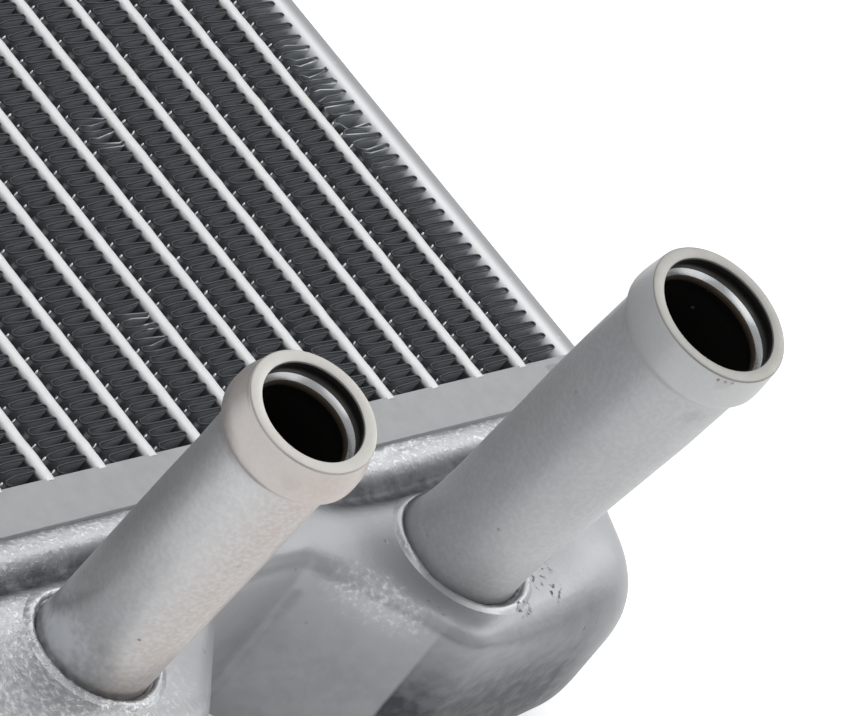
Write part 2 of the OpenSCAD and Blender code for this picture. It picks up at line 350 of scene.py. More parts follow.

# %% [markdown]
# An attribute which a mesh carries with it darkens the skin: painted shade in hollows and low down.
# The collars take a smoother, brighter skin made in the same way.

# %% Material: pressed tank
def tank_material(name, roughness, brighter):
    material, tree, shader, where = start_material(name, 0.6, roughness)
    skin = place_group(tree, oven_skin, Vector=where)
    streaks = place_group(tree, oven_skin, Vector=where, Cloud_Scale=420.0)["Cloud"]
    sparkly = sparkle_mask(tree, where)
    holes = hole_mask(tree, where)
    crumbs = place_group(tree, dots, Vector=where, Scale=1100.0, Size=0.42, Share=0.35)["Mask"]
    crumbs = calc(tree, "MULTIPLY", crumbs, sparkly)
    pits = place_group(tree, dots, Vector=where, Scale=330.0, Size=0.16, Share=0.22)["Mask"]
    grit = noise_value(tree, where, 1300.0, 2)
    bright = calc(tree, "MULTIPLY", ramp(tree, grit, 0.52, 0.66), sparkly)
    dull = calc(tree, "MULTIPLY", ramp(tree, grit, 0.50, 0.36), sparkly)
    patchy = ramp(tree, streaks, 0.3, 0.7, 0.9, 1.12)
    # Painted shade from the mesh's attribute, broken up by streaks.
    painted_shade = calc(tree, "MULTIPLY", marked(tree, "painted_shade"), patchy)
    color = glaze_all(tree, (0.47, 0.475, 0.49), [
        ((0.40, 0.41, 0.42), skin["Cloud"], 0.9),
        ((0.56, 0.56, 0.56), skin["Grain"], 0.35),
        ((0.82, 0.825, 0.84), sparkly, 0.7),
        ((0.80, 0.80, 0.80), streaks, brighter),
        ((0.42, 0.43, 0.45), dull, 0.5),
        ((0.98, 0.98, 0.98), bright, 0.85),
        ((0.95, 0.95, 0.95), crumbs, 0.8),
        ((0.22, 0.21, 0.20), pits, 0.45),
        ((0.10, 0.095, 0.09), holes, 0.85),
        ((0.05, 0.053, 0.06), painted_shade, 1.0)])
    tree.links.new(color, shader.inputs["Base Color"])
    roughen(tree, shader, [(skin["Grain"], 0.12), (skin["Cloud"], 0.10), (holes, 0.2)], roughness)
    pebbly = calc(tree, "MULTIPLY_ADD", sparkly, 0.9, 0.18)
    relief = calc(tree, "MULTIPLY", skin["Pebble"], pebbly)
    height = add_up(tree, [(relief, 1.0), (skin["Grain"], 0.22), (pits, -0.5), (holes, -0.9),
                           (crumbs, 0.3), (bright, 0.5)])
    emboss(tree, shader, height, 0.55, 0.35 * MM)
    return material


tank_skin = tank_material("tank_skin", roughness=0.36, brighter=0.0)
collar_skin = tank_material("collar_skin", roughness=0.20, brighter=0.3)
print("materials", tank_skin.name, collar_skin.name)

# %% [markdown]
# The rolled band, the tubes' bright noses and the side plates share one recipe with other numbers:
# a base colour with clouds, a brighter grain and crumbs. A colour named inner shows nearer the
# middle of the core's width. The deep colour is painted shade, with soot, between the core's two
# faces. SPREAD takes off about what the clouds and the grain add to the roughness.

# %% Material: rolled sheet
MID_DEPTH = 16
SPREAD = 0.12
INNER_FADE, DEEP_FADE = 2.6, 0.5


def sheet_material(name, color, cloudy, metallic, roughness, cloud_scale, crumb_share, relief,
                   inner=None, deep_shade=None):
    material, tree, shader, where = start_material(name, metallic, roughness)
    skin = place_group(tree, oven_skin, Vector=where, Cloud_Scale=cloud_scale, Grain_Scale=2600.0)
    crumbs = place_group(tree, dots, Vector=where, Scale=900.0, Size=0.35, Share=crumb_share)["Mask"]
    tint = glaze_all(tree, color, [
        (cloudy, skin["Cloud"], 0.8),
        (tuple(min(1, c * 1.15) for c in color), skin["Grain"], 0.4),
        ((0.9, 0.9, 0.9), crumbs, 0.35)])
    if inner:
        aside = off_middle(tree, where, "X")
        tint = glaze(tree, tint, inner[1], ramp(tree, aside, inner[0] * MM, (inner[0] - INNER_FADE) * MM))
    # The deep colour paints shade on the walls down between the core's faces.
    if deep_shade:
        aside = off_middle(tree, where, "Z", MID_DEPTH)
        tint = glaze(tree, tint, deep_shade[1], ramp(tree, aside, deep_shade[0] * MM, (deep_shade[0] - DEEP_FADE) * MM))
    tree.links.new(tint, shader.inputs["Base Color"])
    roughen(tree, shader, [(skin["Cloud"], 0.15), (skin["Grain"], 0.1)], roughness - SPREAD)
    height = add_up(tree, [(skin["Grain"], 0.3), (skin["Pebble"], 0.5), (crumbs, 0.5)])
    emboss(tree, shader, height, relief, 0.15 * MM)
    return material


band_metal = sheet_material(
    "band_metal", (0.385, 0.39, 0.395), (0.33, 0.335, 0.34), metallic=0.65, roughness=0.55,
    cloud_scale=520.0, crumb_share=0.0, relief=0.45)
plate_metal = sheet_material(
    "plate_metal", (0.34, 0.34, 0.345), (0.29, 0.29, 0.30), metallic=0.7, roughness=0.45,
    cloud_scale=180.0, crumb_share=0.03, relief=0.25, inner=(86.3, (0.80, 0.80, 0.81)))
# The tubes' deep colour is painted shade, with soot, on their walls among the folds.
tube_metal = sheet_material(
    "tube_metal", (0.82, 0.82, 0.82), (0.66, 0.65, 0.63), metallic=0.45, roughness=0.5,
    cloud_scale=520.0, crumb_share=0.12, relief=0.5, deep_shade=(15.75, (0.13, 0.135, 0.14)))
print("sheet materials made")

# %% [markdown]
# The fins are thin bluish sheet. Their cut edges at the core's face are nearly black, and the
# distance from the core's mid-depth tells such an edge from the sheet below it. An attribute adds
# painted shade along one side of each strip, beside a tube, and a few squashed spots are rubbed shiny.

# %% Material: fins
FIN_TOP, FIN_BACK = 31.85, 1.0
SHINY = (((81.2, 60.5, 31.6), 1.1), ((32.0, 53.5, 31.4), 1.1), ((11.6, 22.4, 31.4), 1.3))


def fin_material():
    material, tree, shader, where = start_material("fin_sheet", 0.55, 0.42)
    skin = place_group(tree, oven_skin, Vector=where, Cloud_Scale=140.0)
    aside = off_middle(tree, where, "Z", MID_DEPTH)
    edge_at = FIN_TOP - MID_DEPTH
    edge = ramp(tree, aside, (edge_at - 0.4) * MM, (edge_at - 0.03) * MM)
    color = glaze_all(tree, (0.60, 0.63, 0.655), [
        ((0.47, 0.50, 0.53), skin["Cloud"], 0.9),
        # Painted shade beside the tube.
        ((0.05, 0.053, 0.057), marked(tree, "painted_shade"), 0.75),
        ((0.03, 0.031, 0.033), edge, 0.97)])
    for spot in SHINY:
        color = glaze(tree, color, (0.70, 0.71, 0.72), patch_mask(tree, where, *spot, 0.7), 0.8)
    tree.links.new(color, shader.inputs["Base Color"])
    emboss(tree, shader, skin["Pebble"], 0.15, 0.1 * MM)
    return material


fin_sheet = fin_material()
print("material", fin_sheet.name)

# %% [markdown]
# The two hose pipes are drawn tube with a satin skin. Their colour runs from cool to warm across
# the pipe, as painted shading on the side towards the camera's right, so the colour needs each
# pipe's place, and both leans are given here. Two attributes from the mesh darken the foot with
# painted shade and rub the bead. Marks at set places do the rest.

# %% Material: pipes
def lean(side, out, sideways):
    """Where a pipe stands: side is -1 or 1, and both leans are in degrees."""
    turn = Matrix.Rotation(math.radians(-sideways), 4, "Y") @ Matrix.Rotation(math.radians(out), 4, "X")
    return Matrix.Translation(Vector((side * PIPE_X, PIPE_Y, FOOT_Z)) * MM) @ turn


INLET = lean(-1, 7.1, 8.0)
OUTLET = lean(1, 8.4, 5.2)


def pipe_material(name, place, metallic, roughness, cool, warm, stain, marks):
    material, tree, shader, where = start_material(name, metallic, roughness)
    skin = place_group(tree, oven_skin, Vector=where, Cloud_Scale=210.0, Grain_Scale=1500.0,
                       Pebble_Scale=480.0)
    pits = place_group(tree, dots, Vector=where, Scale=240.0, Size=0.12, Share=0.30)["Mask"]
    across = (place.to_3x3() @ Vector((0.72, -0.69, 0))).normalized()
    off = put(tree, "ShaderNodeVectorMath", {0: where, 1: across}, operation="DOT_PRODUCT")
    middle = across.dot(place.translation)
    # Painted shading: the side of the pipe towards the camera's right takes the warm colour.
    sunny = ramp(tree, off.outputs["Value"], middle - 4 * MM, middle + 4 * MM)
    tint = glaze_all(tree, cool, [
        (warm, sunny, 1.0),
        (stain, ramp(tree, skin["Cloud"], 0.32, 0.68), 0.3),
        (tuple(min(1, c * 1.3) for c in cool), ramp(tree, skin["Grain"], 0.35, 0.7), 0.3),
        (tuple(min(1, c * 1.2) for c in warm), marked(tree, "worn"), 0.6),
        # Painted shade at the foot.
        ((0.06, 0.06, 0.06), marked(tree, "painted_shade"), 0.85),
        ((0.16, 0.14, 0.12), pits, 0.35)])
    for centre, radius, shade, amount in marks:
        tint = glaze(tree, tint, shade, patch_mask(tree, where, centre, radius, 0.9), amount)
    tree.links.new(tint, shader.inputs["Base Color"])
    roughen(tree, shader, [(skin["Cloud"], 0.14), (skin["Grain"], 0.14)], roughness - SPREAD)
    height = add_up(tree, [(skin["Grain"], 0.35), (skin["Pebble"], 0.35), (pits, -0.6)])
    emboss(tree, shader, height, 0.35, 0.14 * MM)
    return material


print("leans set for two pipes")

# %% [markdown]
# Each mark is a centre, a radius, a colour and an amount. The small pipe has a pale patch at its
# foot, and both pipes have brown stains and dark specks.

# %% Pipe finishes
BROWN, DARK, PALE = (0.30, 0.24, 0.20), (0.10, 0.09, 0.08), (0.84, 0.86, 0.90)
INLET_MARKS = [
    ((-45.5, -20.5, 35.5), 9.0, PALE, 0.9),
    ((-45.0, -28.5, 43.7), 0.5, DARK, 0.7),
    ((-45.7, -26.0, 39.0), 2.0, BROWN, 0.18),
    ((-44.2, -27.6, 37.2), 1.6, BROWN, 0.18),
    ((-51.3, -34.0, 79.8), 3.0, BROWN, 0.12)]
OUTLET_MARKS = [
    ((28.5, -26.7, 43.2), 0.6, DARK, 0.7),
    ((29.0, -24.4, 35.6), 0.5, DARK, 0.5),
    ((26.4, -37.3, 84.7), 0.5, DARK, 0.8),
    ((27.2, -38.0, 84.8), 0.6, DARK, 0.6),
    ((28.1, -38.5, 84.9), 0.6, DARK, 0.8),
    ((27.2, -38.0, 84.6), 3.0, BROWN, 0.15),
    ((29.5, -36.7, 76.3), 3.2, BROWN, 0.18)]
inlet_metal = pipe_material(
    "inlet_metal", INLET, metallic=0.8, roughness=0.36, cool=(0.60, 0.60, 0.605),
    warm=(0.50, 0.44, 0.405), stain=(0.53, 0.52, 0.51), marks=INLET_MARKS)
outlet_metal = pipe_material(
    "outlet_metal", OUTLET, metallic=0.3, roughness=0.42, cool=(0.59, 0.595, 0.605),
    warm=(0.585, 0.58, 0.575), stain=(0.51, 0.51, 0.52), marks=OUTLET_MARKS)
# The bore is near black: painted shade of the deep inside, with soot.
shade_and_soot = sheet_material(
    "bore_shade_and_soot", (0.030, 0.028, 0.026), (0.018, 0.017, 0.016), metallic=0.4, roughness=0.4,
    cloud_scale=200.0, crumb_share=0.02, relief=0.3)
# The groove under the lip is painted dark in the same way: painted shade, with soot.
groove = sheet_material(
    "lip_groove", (0.10, 0.095, 0.09), (0.05, 0.048, 0.045), metallic=0.8, roughness=0.35,
    cloud_scale=500.0, crumb_share=0.02, relief=0.3)
# The ridge's near-white colour is partly a painted highlight.
ridge = sheet_material(
    "bore_ridge", (0.98, 0.98, 0.98), (0.88, 0.87, 0.86), metallic=0.85, roughness=0.28,
    cloud_scale=300.0, crumb_share=0.0, relief=0.04)
burnt = sheet_material(
    "bore_burnt", (0.20, 0.15, 0.11), (0.07, 0.06, 0.05), metallic=0.6, roughness=0.4,
    cloud_scale=500.0, crumb_share=0.0, relief=0.3)
inlet_rim = sheet_material(
    "inlet_rim", (0.56, 0.54, 0.505), (0.48, 0.46, 0.43), metallic=0.5, roughness=0.4,
    cloud_scale=300.0, crumb_share=0.0, relief=0.3)
outlet_rim = sheet_material(
    "outlet_rim", (0.38, 0.37, 0.345), (0.31, 0.30, 0.28), metallic=0.5, roughness=0.4,
    cloud_scale=300.0, crumb_share=0.0, relief=0.3)
print("marks:", len(INLET_MARKS) + len(OUTLET_MARKS))

# %% [markdown]
# Every finished piece goes the same way into the scene: its bmesh becomes an object at the origin,
# shaded smooth except at true edges, and it rides on the part and names its finish. Each mask is a
# label and a function of place in mm, and the mesh stores its shares for the materials.

# %% Finish a piece
def clamp(value):
    return max(0.0, min(1.0, value))


def settle(name, bm, materials, nodes=(), sharp=35, masks=()):
    mesh = bpy.data.meshes.new(name)
    bm.to_mesh(mesh)
    bm.free()
    for label, share in masks:
        layer = mesh.attributes.new(label, "FLOAT", "POINT")
        for vert, value in zip(mesh.vertices, layer.data):
            value.value = clamp(share(vert.co / MM))
    for material in materials:
        mesh.materials.append(material)
    mesh.shade_smooth()
    mesh.set_sharp_from_angle(angle=math.radians(sharp))
    piece = bpy.data.objects.new(name, mesh)
    scene.collection.objects.link(piece)
    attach(piece, "root")
    if nodes:
        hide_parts(*nodes)
    print(name, len(mesh.polygons), "faces")
    return piece


def ease(a, b, steps):
    """Points (radius, height) from a to b along half a cosine wave."""
    for k in range(steps + 1):
        t = k / steps
        yield (a[0] + (b[0] - a[0]) * (1 - math.cos(math.pi * t)) / 2, a[1] + (b[1] - a[1]) * t)


def chain(bm, points):
    """A row of vertices joined by edges."""
    verts = [bm.verts.new(p) for p in points]
    return verts + [bm.edges.new(pair) for pair in zip(verts, verts[1:])]


# %% [markdown]
# A hose pipe is round all over, so its section is drawn once, half the pipe seen from the side, and
# spun about the axis. The section runs up the outside over the rolled bead and turns in at the lip.
# Inside it drops into a groove, swells into a ridge and goes on down the bore.

# %% Pipe section
BORE_WALL, BEAD_LENGTH = 1.3, 7.0
TAPER = (8, 38)
FLARE_FROM, FLARE_HEIGHT = -2.3, 5.5
QUARTER = (0.4, 0.8, 1.2, math.pi / 2)
OUTSIDE, BORE, GROOVE, RIDGE, RIM, BURNT = range(6)
MOUTH_STEPS = (
    (0.25, 0), (0.07, 0.08), (0, 0.3), (0.03, 0.95), (0.4, 1.2), (0.75, 1.8), (0.72, 2.3),
    (0.55, 2.6), (0.3, 2.8), (0.0, 3.1), (-0.3, 3.45), (-0.48, 3.8), (-0.5, 4.3), (-0.3, 4.8),
    (0, 6.0), (0, 6.5))


def pipe_section(root, end, length, bead, flare):
    """The outside and the inside as (radius, height) points in mm above the foot."""
    neck, lip = length - BEAD_LENGTH, end + 0.6
    crest, mouth = neck + 1.9, end - BORE_WALL + 0.15
    outside = [(root + flare, z) for z in (-5, FLARE_FROM)]
    outside += [(root + flare * (1 - math.sin(a)), FLARE_FROM + FLARE_HEIGHT * (1 - math.cos(a)))
                for a in QUARTER]
    outside += [(root + (end - root) * t, TAPER[0] + (TAPER[1] - TAPER[0]) * t)
                for t in (0, 0.25, 0.5, 0.75, 1)]
    outside += [(end, neck - 1.5)] + list(ease((end, neck - 0.2), (bead, crest), 9))
    outside += [(bead + 0.02, crest + 0.5), (bead, crest + 1.1), (bead - 0.06, crest + 2.0)]
    outside += [(lip + 0.08, length - 0.9), (lip, length - 0.45)]
    outside += [(lip - 0.3 + 0.3 * math.cos(a), length - 0.3 + 0.3 * math.sin(a)) for a in QUARTER]
    inside = [(mouth + dr, length - dz) for dr, dz in MOUTH_STEPS]
    inside += [(end - BORE_WALL, TAPER[1]), (root - BORE_WALL, TAPER[0]), (root - BORE_WALL, -5)]
    return outside, inside


def bore_finish(face, end, length):
    """Which finish a face takes, mostly by its depth below the mouth."""
    middle = face.calc_center_median()
    depth = length - middle.z / MM
    radius = math.hypot(middle.x, middle.y) / MM
    if depth < 0.25:
        return RIM
    if depth < 0.4 or (depth < BEAD_LENGTH and radius > end - 0.3):
        return OUTSIDE
    if depth < 2.75:
        return GROOVE
    if depth < 3.5:
        return RIDGE
    if depth < 4.4:
        return BURNT
    return BORE if face.normal.xy.dot(middle.xy) < 0 else OUTSIDE


print("points inside a mouth:", len(MOUTH_STEPS))

# %% [markdown]
# The spun skin wobbles a little, since drawn tube is never quite round. Its foot carries painted
# shade and its bead wear, both told by height along the pipe's own axis.

# %% Hose pipes
SMALL_PIPE = {"root": 7.95, "end": 7.95, "length": 53.3, "bead": 9.4, "flare": 0.35}
LARGE_PIPE = {"root": 8.5, "end": 9.5, "length": 56.0, "bead": 10.45, "flare": 0.9}
ROUND_STEPS = 112


def spin_full(bm, geom, steps):
    """Spins a section once round the upright axis."""
    bmesh.ops.spin(bm, geom=geom, cent=(0, 0, 0), axis=(0, 0, 1), dvec=(0, 0, 0),
                   angle=2 * math.pi, steps=steps, use_merge=True)


def close_ring(bm):
    """Joins a spun section's two open ends, which makes a closed ring."""
    bmesh.ops.bridge_loops(bm, edges=[e for e in bm.edges if e.is_boundary])
    bmesh.ops.recalc_face_normals(bm, faces=bm.faces)


def hose_pipe(name, node, place, material, rim, sizes, seed):
    outside, inside = pipe_section(**sizes)
    bm = bmesh.new()
    spin_full(bm, chain(bm, [Vector((r * MM, 0, z * MM)) for r, z in outside + inside]), ROUND_STEPS)
    close_ring(bm)
    for face in bm.faces:
        face.material_index = bore_finish(face, sizes["end"], sizes["length"])
    for vert in bm.verts:
        if vert.co.z > 2 * MM:
            wobble = noise.noise(vert.co * 90 + Vector((seed, 0, 0))) * 0.12 * MM
            vert.co.xy += vert.co.xy.normalized() * wobble
    bmesh.ops.transform(bm, matrix=place, verts=bm.verts)
    upright = place.inverted()
    # The foot's share is painted shade.
    masks = [("painted_shade", lambda co: (-0.4 - (upright @ (co * MM)).z / MM) / 0.9),
             ("worn", lambda co: ((upright @ (co * MM)).z / MM - sizes["length"] + 8.0) / 2.5)]
    finishes = [material, shade_and_soot, groove, ridge, rim, burnt]
    return settle(name, bm, finishes, [node], 40, masks)


hose_pipe("small_hose_pipe", "inlet_pipe", INLET, inlet_metal, inlet_rim, SMALL_PIPE, 3)
hose_pipe("large_hose_pipe", "outlet_pipe", OUTLET, outlet_metal, outlet_rim, LARGE_PIPE, 8)

# %% [markdown]
# The tank is a pressed shell whose every edge flows into the next. Rounded posts give its plan, a
# convex hull draws the skin round them, and a voxel remesh melts the hulls into one. Smoothing then
# gives the soft inner corners that a press leaves and a plain union lacks.

# %% Pressed forms
DEPTH, SEAM_Y = 32.0, -3.33
DROP, POST_STEPS = 1.1, 32
SINK_LEFT, SINK_RIGHT = 0.2, 1.6
SMALL_GROOVE, LARGE_GROOVE = 8.55, 9.35
TUBES_HALF, SKIRT_ROOM, TANK_WALL = 74.875, 0.6, 1.6
SKIRT_X = TUBES_HALF + SKIRT_ROOM + TANK_WALL
SKIRT_FROM, SKIRT_END = SEAM_Y - 1, SEAM_Y + 4


def post(bm, x, y, r, e, depth=DEPTH):
    """Upright round of plan radius r whose top and bottom edges are rounded by e, all in mm."""
    def arc(a0, z):
        return [Vector((r - e + e * math.cos(a), 0, z + e * math.sin(a)))
                for a in (math.radians(a0 + 15 * k) for k in range(7))]
    points = [Vector((0, 0, 0))] + arc(-90, e) + arc(0, depth - e) + [Vector((0, 0, depth))]
    geom = chain(bm, [p * MM for p in points])
    spin_full(bm, geom, POST_STEPS)
    fresh = {v for v in bm.verts if not v.tag}
    bmesh.ops.translate(bm, vec=Vector((x, y, 0)) * MM, verts=list(fresh))
    for v in fresh:
        v.tag = True


def hull_of(posts):
    """One convex skin round several posts, as a mesh that can be joined to others."""
    bm = bmesh.new()
    for spec in posts:
        post(bm, *spec)
    made = bmesh.ops.convex_hull(bm, input=bm.verts, use_existing_faces=False)
    hull = set(g for g in made["geom"] if isinstance(g, bmesh.types.BMFace))
    bmesh.ops.delete(bm, geom=[f for f in bm.faces if f not in hull], context="FACES")
    bmesh.ops.delete(bm, geom=[v for v in bm.verts if not v.link_faces], context="VERTS")
    bmesh.ops.recalc_face_normals(bm, faces=bm.faces)
    mesh = bpy.data.meshes.new("hull")
    bm.to_mesh(mesh)
    bm.free()
    return mesh


def block(low, high):
    bm = bmesh.new()
    bmesh.ops.create_cube(bm, size=1)
    size = Vector(high) - Vector(low)
    bmesh.ops.scale(bm, vec=size * MM, verts=bm.verts)
    bmesh.ops.translate(bm, vec=(Vector(low) + size / 2) * MM, verts=bm.verts)
    mesh = bpy.data.meshes.new("block")
    bm.to_mesh(mesh)
    bm.free()
    return mesh


def melt(meshes, voxel, rounds):
    """Joins meshes, remeshes them into one skin and smooths it. Returns a bmesh."""
    bm = bmesh.new()
    for mesh in meshes:
        bm.from_mesh(mesh)
    mesh = bpy.data.meshes.new("melt")
    bm.to_mesh(mesh)
    bm.free()
    work = bpy.data.objects.new("melt", mesh)
    scene.collection.objects.link(work)
    remesh = work.modifiers.new("remesh", "REMESH")
    remesh.mode = "VOXEL"
    remesh.voxel_size = voxel * MM
    bpy.context.view_layer.update()
    baked = bpy.data.meshes.new_from_object(work.evaluated_get(bpy.context.evaluated_depsgraph_get()))
    bpy.data.objects.remove(work)
    bm = bmesh.new()
    bm.from_mesh(baked)
    for _ in range(rounds):
        bmesh.ops.smooth_vert(bm, verts=bm.verts, factor=0.5,
                              use_axis_x=True, use_axis_y=True, use_axis_z=True)
    return bm


def pressing(hulls, voxel, rounds):
    """One skin from hulls and the skirt below the seam, cut flat at the skirt's end."""
    skirt = block((-SKIRT_X, SKIRT_FROM, DROP), (SKIRT_X, SKIRT_END + 0.4, DEPTH - DROP))
    bm = melt([*hulls, skirt], voxel, rounds)
    bmesh.ops.bisect_plane(bm, geom=bm.verts[:] + bm.edges[:] + bm.faces[:],
                           plane_co=(0, SKIRT_END * MM, 0), plane_no=(0, 1, 0), clear_outer=True)
    bmesh.ops.holes_fill(bm, edges=[e for e in bm.edges if e.is_boundary])
    return bm


def seam_set(e):
    """How far behind the seam a post of edge radius e stands, so that they meet DROP lower."""
    return math.sqrt(e * e - (e - DROP) ** 2)


print("a post of edge radius 3 stands", round(seam_set(3), 2), "mm behind the seam")

# %% [markdown]
# A lobe has four posts: the outer end, the nose at the pinch's mouth, the root of the slanted flank
# and the back corner. A bar of four more posts joins the two lobes behind the pinch. A post is
# its place, its plan radius and its edge radius.

# %% Posts of the pressed tank
FRONT_Y, PINCH_Y = SEAM_Y - 32.4, SEAM_Y - 14.2
FLANK = 9.1 + PINCH_Y
HALF_WIDTH, BAR_X = 76, 23.3
END_R, NOSE_R, ROOT_R, BACK_R = 16, 7, 3, 8
END_EDGE, NOSE_EDGE = 11, 3
lobe_posts = [
    (HALF_WIDTH - END_R, FRONT_Y + END_R, END_R, END_EDGE),
    (NOSE_R * math.sqrt(2) + FLANK - (FRONT_Y + NOSE_R), FRONT_Y + NOSE_R, NOSE_R, NOSE_EDGE),
    (ROOT_R * math.sqrt(2) + FLANK - (SEAM_Y - seam_set(ROOT_R)), SEAM_Y - seam_set(ROOT_R),
     ROOT_R, ROOT_R),
    (SKIRT_X - 1 - seam_set(BACK_R), SEAM_Y - seam_set(BACK_R), BACK_R, BACK_R)]
bar_posts = [(s * BAR_X, y, ROOT_R, ROOT_R) for s in (-1, 1)
             for y in (PINCH_Y + ROOT_R, SEAM_Y - seam_set(ROOT_R))]
mirrored = [(-x, y, r, e) for x, y, r, e in lobe_posts]
print("lobe posts:", [tuple(round(v, 1) for v in p) for p in lobe_posts])

# %% [markdown]
# The lobes aren't flat. A trough runs beside the seam, the skin sinks round the pipes' feet and
# falls away towards the ends, and a narrow groove lies against each pipe. One function of place
# says how far the top is lowered, and another how much painted shade lies there.

# %% Press marks and painted shade
TROUGH_Y, TROUGH_WIDTH, TROUGH_DEPTH = -9.2, 1.9, 2.1
TROUGH_FROM, TROUGH_TO = 19, 63


def trough_at(co):
    """The trough's share at a point, 0 to 1."""
    x, y = abs(co.x), co.y
    along = 1 / (1 + math.exp(-(x - TROUGH_FROM) / 2.2)) / (1 + math.exp((x - TROUGH_TO) / 2.5))
    return math.exp(-((y - TROUGH_Y) / TROUGH_WIDTH) ** 2) * along


def off_pipe(co):
    """How far a point lies from the middle of the pipe on its side."""
    return math.hypot(abs(co.x) - PIPE_X, co.y - PIPE_Y)


def groove_edge(co):
    return LARGE_GROOVE if co.x > 0 else SMALL_GROOVE


def press_marks(co):
    """How far the top skin is lowered at a point, in mm."""
    foot = off_pipe(co)
    near = math.exp(-(max(0.0, foot - 10) / 7.0) ** 2)
    sink = (SINK_RIGHT if co.x > 0 else SINK_LEFT) * near
    dome = 0.9 * clamp((abs(co.x) - 54) / 18) ** 2
    wave = 0.22 * noise.noise(Vector((co.x, co.y, 0)) * 0.11)
    groove = 0.7 * clamp((groove_edge(co) - foot) / 0.6)
    return TROUGH_DEPTH * trough_at(co) + sink + dome + wave + groove


def groove_painted_shade(co):
    """Painted shade at the bottom of the groove round a pipe's foot."""
    return (groove_edge(co) - off_pipe(co)) / 0.45


def tank_painted_shade(co):
    """Where painted shade darkens the skin: in the trough, at the foot of the walls and low in the pinch.
    """
    low = 0.95 * clamp((34 - co.z) / 17)
    wall = 1 if co.y < FRONT_Y + 4 else 0.35 if co.y < PINCH_Y + 1 else 0
    if abs(co.x) > 56:
        end = min(1.0, (abs(co.x) - 56) / 10)
        low += (0.75 * clamp((21 - co.z) / 13) - low) * end
        wall += (1 - wall) * end
    top = 1 if co.z > 26 else 0
    in_pinch = 1 if co.y < PINCH_Y + 3 and co.z < 30 else 0
    corner = 0.4 * math.exp(-((abs(co.x) - 9.5) / 1.2) ** 2) * in_pinch
    return max(trough_at(co) ** 0.62 * top, low * wall, corner * (1 - top), groove_painted_shade(co) * top)


print("lowered at the trough's middle:", round(press_marks(Vector((40, TROUGH_Y, DEPTH))), 2), "mm")

# %% [markdown]
# The skin is finely melted, and then its upward faces are lowered by the marks. What faces sideways
# stays, and so does the strip at the seam.

# %% Tank body
bm = pressing([hull_of(lobe_posts), hull_of(mirrored), hull_of(bar_posts)], 0.75, 5)
bm.normal_update()
for vert in bm.verts:
    here = vert.co / MM
    if vert.normal.z > 0.2 and here.y < SEAM_Y - 0.6:
        vert.co.z -= press_marks(here) * min(1, vert.normal.z * 1.6) * MM
tank_top = BVHTree.FromBMesh(bm)
# The tank's mesh carries its painted shade point by point.
settle("pressed_tank", bm, [tank_skin], ["pipe_tank"], 60, [("painted_shade", tank_painted_shade)])

# %% [markdown]
# Round each pipe's foot the tank's metal stands up in a low rolled lip, with the dark groove inside
# it. The lip is spun like the pipe, and a ray cast from above lays each point on the tank's skin.

# %% Collars
LIP_SECTION = (
    (0.0, -2.2), (0.1, -0.6), (0.3, -0.1), (0.5, 0.25), (0.7, 0.42), (0.95, 0.48), (1.2, 0.43),
    (1.5, 0.26), (1.8, 0.08), (2.1, -0.08), (2.5, -0.4), (2.5, -2.2))


def collar(name, side, root, seed):
    bm = bmesh.new()
    section = [Vector(((root + r) * MM, 0, z * MM)) for r, z in LIP_SECTION]
    spin_full(bm, chain(bm, section), ROUND_STEPS)
    close_ring(bm)
    bmesh.ops.translate(bm, vec=Vector((side * PIPE_X, PIPE_Y, FOOT_Z)) * MM, verts=bm.verts)
    for vert in bm.verts:
        rise_here = vert.co.z - FOOT_Z * MM
        lump = noise.noise(vert.co * 160 + Vector((seed, seed, 0))) * max(0.0, rise_here)
        hit = tank_top.ray_cast(Vector((vert.co.x, vert.co.y, 0.1)), Vector((0, 0, -1)))[0]
        vert.co.z = hit.z + rise_here + 0.6 * lump
    # The dark in the collar's groove is painted shade.
    return settle(name, bm, [collar_skin], (), 60, [("painted_shade", groove_painted_shade)])


collar("small_pipe_collar", -1, 8.1, 2)
collar("large_pipe_collar", 1, 8.9, 6)

# %% [markdown]
# The far tank is the same kind of pressing with plain rounded ends, so the same tools make it.

# %% Far tank
FAR_REACH, FAR_R = 17, 7
far_posts = [(s * (SKIRT_X - FAR_R), SEAM_Y - FAR_REACH + FAR_R, FAR_R, FAR_R) for s in (-1, 1)]
far_posts += [(s * (SKIRT_X - seam_set(FAR_R)), SEAM_Y - seam_set(FAR_R), FAR_R, FAR_R) for s in (-1, 1)]
bm = pressing([hull_of(far_posts)], 1.0, 4)
bmesh.ops.scale(bm, vec=(1, -1, 1), verts=bm.verts)
bmesh.ops.translate(bm, vec=(0, (FAR_Y + CORE_Y) * MM, 0), verts=bm.verts)
bmesh.ops.recalc_face_normals(bm, faces=bm.faces)
settle("far_tank", bm, [tank_skin], ["return_tank"], 60)

# %% [markdown]
# A flat tube shows only its nose, which braze has swollen to NOSE_T. Its section is a flattened
# circle pulled apart into a slot, then extruded along the tube in many steps, so that the nose can
# be a little uneven. Its ends stop inside the trays' walls.

# %% Flat tubes
PITCH, TUBES, TUBE_T = 9.85, 16, 2.0
NOSE_T, NOSE_H, TUBE_D, MID_Z = 2.4, 0.9, 32.0, 16.1
TUBE_END, NOSE_POWER = 0.35, 0.75
TUBE_STEPS = 110


